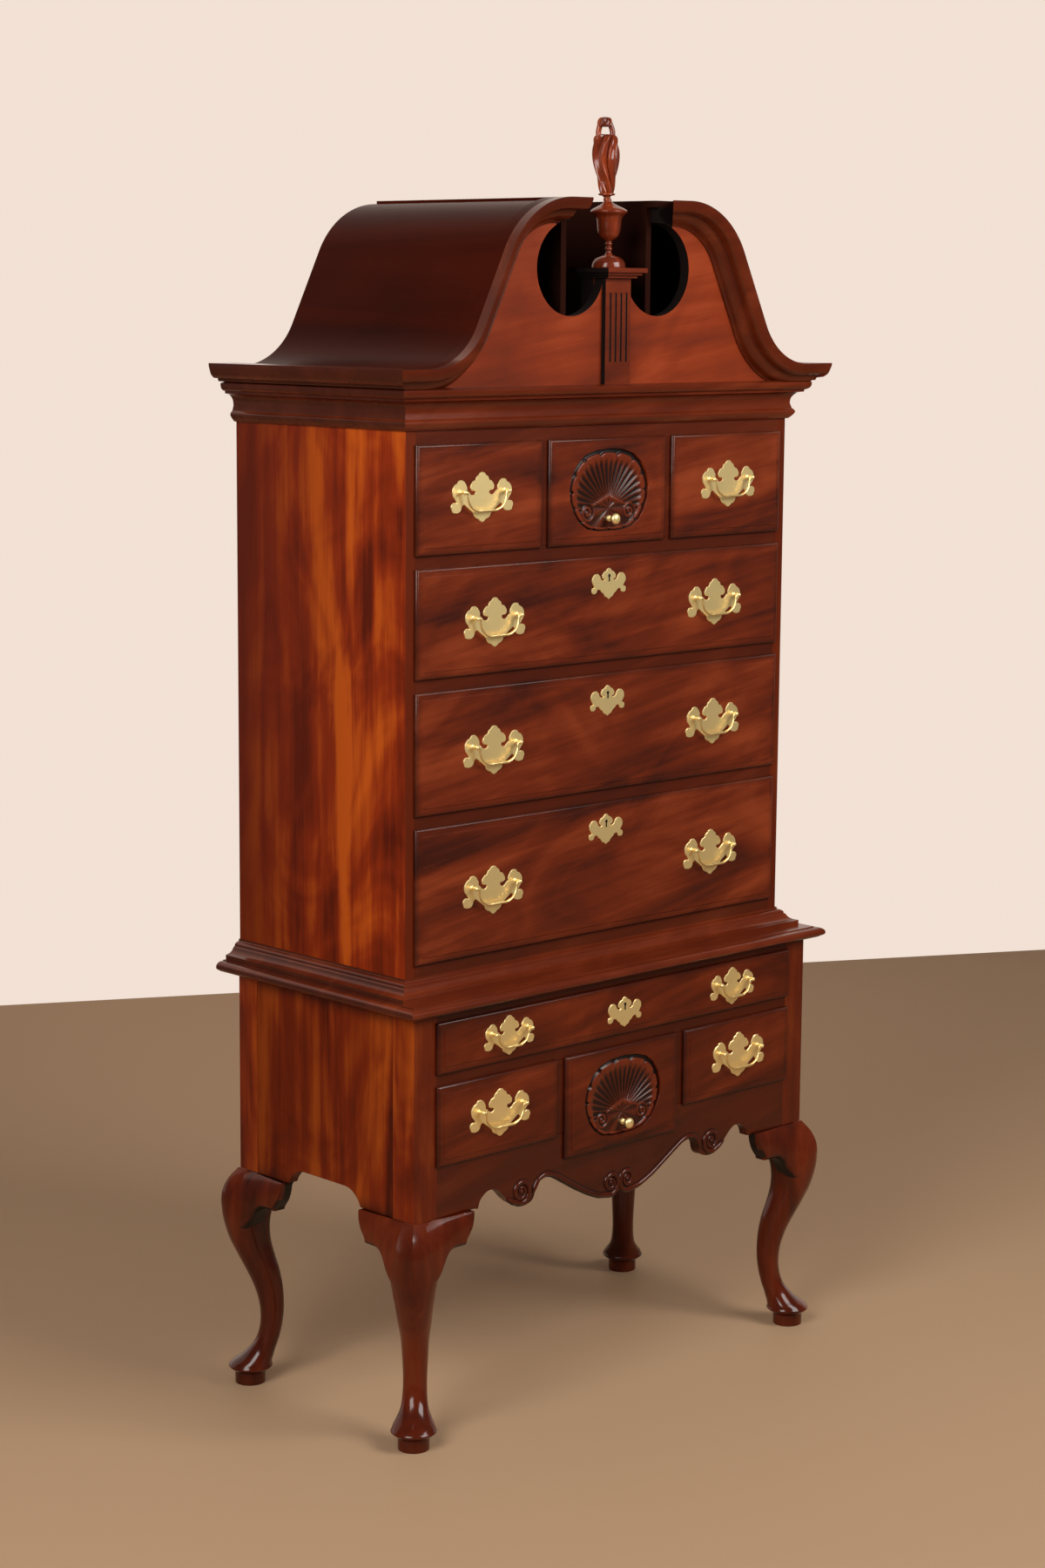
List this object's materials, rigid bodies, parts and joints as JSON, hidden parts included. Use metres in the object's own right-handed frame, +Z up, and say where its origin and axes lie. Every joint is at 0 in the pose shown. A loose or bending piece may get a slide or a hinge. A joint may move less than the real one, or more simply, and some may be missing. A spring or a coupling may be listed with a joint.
{
  "type": "highboy",
  "caption": "Bonnet-top highboy: a chest of drawers with a swan-neck pediment and flame finial on a lower case with cabriole legs and a shaped apron.",
  "frame": {"origin": "on the floor, under the centre of the whole highboy's bounding box", "axes": "+X along the front to the viewer's right when facing it, +Y from the front to the back, +Z up"},
  "size_m": [1.02, 0.5158, 2.184],
  "materials": {
    "side_panels": "satin lacquer over orange-brown mahogany",
    "drawer_fronts": "satin lacquer over red-brown mahogany",
    "case_wood": "satin lacquer",
    "mouldings": "satin lacquer, dark in the hollows",
    "legs_and_apron": "satin lacquer",
    "inner_wood": "bare",
    "brass": "satin"
  },
  "bodies": {
    "case": {"cabriole_legs": "legs_and_apron", "knee_brackets": "legs_and_apron", "base_panels": "side_panels", "apron": "legs_and_apron", "base_rails": "case_wood", "drawer_runners": "inner_wood", "waist_moulding": "mouldings", "chest_carcase": "side_panels", "chest_back": "inner_wood", "chest_rails": "case_wood", "chest_base_moulding": "mouldings", "cornice_moulding": "mouldings", "swan_neck_mouldings": "mouldings", "pediment_board": "case_wood", "bonnet_roof": "case_wood", "bonnet_frame": "case_wood", "plinth": "mouldings", "finial": "mouldings"},
    "chest_low_drawer": {"chest_low_drawer_front": "drawer_fronts", "chest_low_drawer_box": "inner_wood", "chest_low_drawer_brasses": "brass"},
    "chest_low_left_bail": {"chest_low_left_bail": "brass"},
    "chest_low_right_bail": {"chest_low_right_bail": "brass"},
    "chest_mid_drawer": {"chest_mid_drawer_front": "drawer_fronts", "chest_mid_drawer_box": "inner_wood", "chest_mid_drawer_brasses": "brass"},
    "chest_mid_left_bail": {"chest_mid_left_bail": "brass"},
    "chest_mid_right_bail": {"chest_mid_right_bail": "brass"},
    "chest_high_drawer": {"chest_high_drawer_front": "drawer_fronts", "chest_high_drawer_box": "inner_wood", "chest_high_drawer_brasses": "brass"},
    "chest_high_left_bail": {"chest_high_left_bail": "brass"},
    "chest_high_right_bail": {"chest_high_right_bail": "brass"},
    "chest_top_left_drawer": {"chest_top_left_drawer_front": "drawer_fronts", "chest_top_left_drawer_box": "inner_wood", "chest_top_left_drawer_brasses": "brass"},
    "chest_top_left_bail": {"chest_top_left_bail": "brass"},
    "chest_top_shell_drawer": {"chest_top_shell_drawer_front": "drawer_fronts", "chest_top_shell_drawer_box": "inner_wood", "chest_top_shell_drawer_brasses": "brass"},
    "chest_top_right_drawer": {"chest_top_right_drawer_front": "drawer_fronts", "chest_top_right_drawer_box": "inner_wood", "chest_top_right_drawer_brasses": "brass"},
    "chest_top_right_bail": {"chest_top_right_bail": "brass"},
    "base_long_drawer": {"base_long_drawer_front": "drawer_fronts", "base_long_drawer_box": "inner_wood", "base_long_drawer_brasses": "brass"},
    "base_long_left_bail": {"base_long_left_bail": "brass"},
    "base_long_right_bail": {"base_long_right_bail": "brass"},
    "base_left_drawer": {"base_left_drawer_front": "drawer_fronts", "base_left_drawer_box": "inner_wood", "base_left_drawer_brasses": "brass"},
    "base_left_bail": {"base_left_bail": "brass"},
    "base_shell_drawer": {"base_shell_drawer_front": "drawer_fronts", "base_shell_drawer_box": "inner_wood", "base_shell_drawer_brasses": "brass"},
    "base_right_drawer": {"base_right_drawer_front": "drawer_fronts", "base_right_drawer_box": "inner_wood", "base_right_drawer_brasses": "brass"},
    "base_right_bail": {"base_right_bail": "brass"}
  },
  "joints": [
    {"name": "chest_low_drawer_slide", "type": "slide", "parent": "case", "child": "chest_low_drawer", "axis": [0, -1, 0], "range_m": [0, 0.33]},
    {"name": "chest_low_left_bail_swing", "type": "hinge", "parent": "chest_low_drawer", "child": "chest_low_left_bail", "pos_m": [-0.26474, -0.1949, 0.92296], "axis": [-1, 0, 0], "range_deg": [-10, 150]},
    {"name": "chest_low_right_bail_swing", "type": "hinge", "parent": "chest_low_drawer", "child": "chest_low_right_bail", "pos_m": [0.26474, -0.1949, 0.92296], "axis": [-1, 0, 0], "range_deg": [-10, 150]},
    {"name": "chest_mid_drawer_slide", "type": "slide", "parent": "case", "child": "chest_mid_drawer", "axis": [0, -1, 0], "range_m": [0, 0.33]},
    {"name": "chest_mid_left_bail_swing", "type": "hinge", "parent": "chest_mid_drawer", "child": "chest_mid_left_bail", "pos_m": [-0.26474, -0.1949, 1.15844], "axis": [-1, 0, 0], "range_deg": [-10, 150]},
    {"name": "chest_mid_right_bail_swing", "type": "hinge", "parent": "chest_mid_drawer", "child": "chest_mid_right_bail", "pos_m": [0.26474, -0.1949, 1.15844], "axis": [-1, 0, 0], "range_deg": [-10, 150]},
    {"name": "chest_high_drawer_slide", "type": "slide", "parent": "case", "child": "chest_high_drawer", "axis": [0, -1, 0], "range_m": [0, 0.33]},
    {"name": "chest_high_left_bail_swing", "type": "hinge", "parent": "chest_high_drawer", "child": "chest_high_left_bail", "pos_m": [-0.26474, -0.1949, 1.3704], "axis": [-1, 0, 0], "range_deg": [-10, 150]},
    {"name": "chest_high_right_bail_swing", "type": "hinge", "parent": "chest_high_drawer", "child": "chest_high_right_bail", "pos_m": [0.26474, -0.1949, 1.3704], "axis": [-1, 0, 0], "range_deg": [-10, 150]},
    {"name": "chest_top_left_drawer_slide", "type": "slide", "parent": "case", "child": "chest_top_left_drawer", "axis": [0, -1, 0], "range_m": [0, 0.33]},
    {"name": "chest_top_left_bail_swing", "type": "hinge", "parent": "chest_top_left_drawer", "child": "chest_top_left_bail", "pos_m": [-0.29467, -0.1949, 1.57624], "axis": [-1, 0, 0], "range_deg": [-10, 150]},
    {"name": "chest_top_shell_drawer_slide", "type": "slide", "parent": "case", "child": "chest_top_shell_drawer", "axis": [0, -1, 0], "range_m": [0, 0.33]},
    {"name": "chest_top_right_drawer_slide", "type": "slide", "parent": "case", "child": "chest_top_right_drawer", "axis": [0, -1, 0], "range_m": [0, 0.33]},
    {"name": "chest_top_right_bail_swing", "type": "hinge", "parent": "chest_top_right_drawer", "child": "chest_top_right_bail", "pos_m": [0.29467, -0.1949, 1.57624], "axis": [-1, 0, 0], "range_deg": [-10, 150]},
    {"name": "base_long_drawer_slide", "type": "slide", "parent": "case", "child": "base_long_drawer", "axis": [0, -1, 0], "range_m": [0, 0.34]},
    {"name": "base_long_left_bail_swing", "type": "hinge", "parent": "base_long_drawer", "child": "base_long_left_bail", "pos_m": [-0.2738, -0.2459, 0.68428], "axis": [-1, 0, 0], "range_deg": [-10, 150]},
    {"name": "base_long_right_bail_swing", "type": "hinge", "parent": "base_long_drawer", "child": "base_long_right_bail", "pos_m": [0.2738, -0.2459, 0.68428], "axis": [-1, 0, 0], "range_deg": [-10, 150]},
    {"name": "base_left_drawer_slide", "type": "slide", "parent": "case", "child": "base_left_drawer", "axis": [0, -1, 0], "range_m": [0, 0.34]},
    {"name": "base_left_bail_swing", "type": "hinge", "parent": "base_left_drawer", "child": "base_left_bail", "pos_m": [-0.29333, -0.2459, 0.55703], "axis": [-1, 0, 0], "range_deg": [-10, 150]},
    {"name": "base_shell_drawer_slide", "type": "slide", "parent": "case", "child": "base_shell_drawer", "axis": [0, -1, 0], "range_m": [0, 0.34]},
    {"name": "base_right_drawer_slide", "type": "slide", "parent": "case", "child": "base_right_drawer", "axis": [0, -1, 0], "range_m": [0, 0.34]},
    {"name": "base_right_bail_swing", "type": "hinge", "parent": "base_right_drawer", "child": "base_right_bail", "pos_m": [0.29333, -0.2459, 0.55703], "axis": [-1, 0, 0], "range_deg": [-10, 150]}
  ]
}
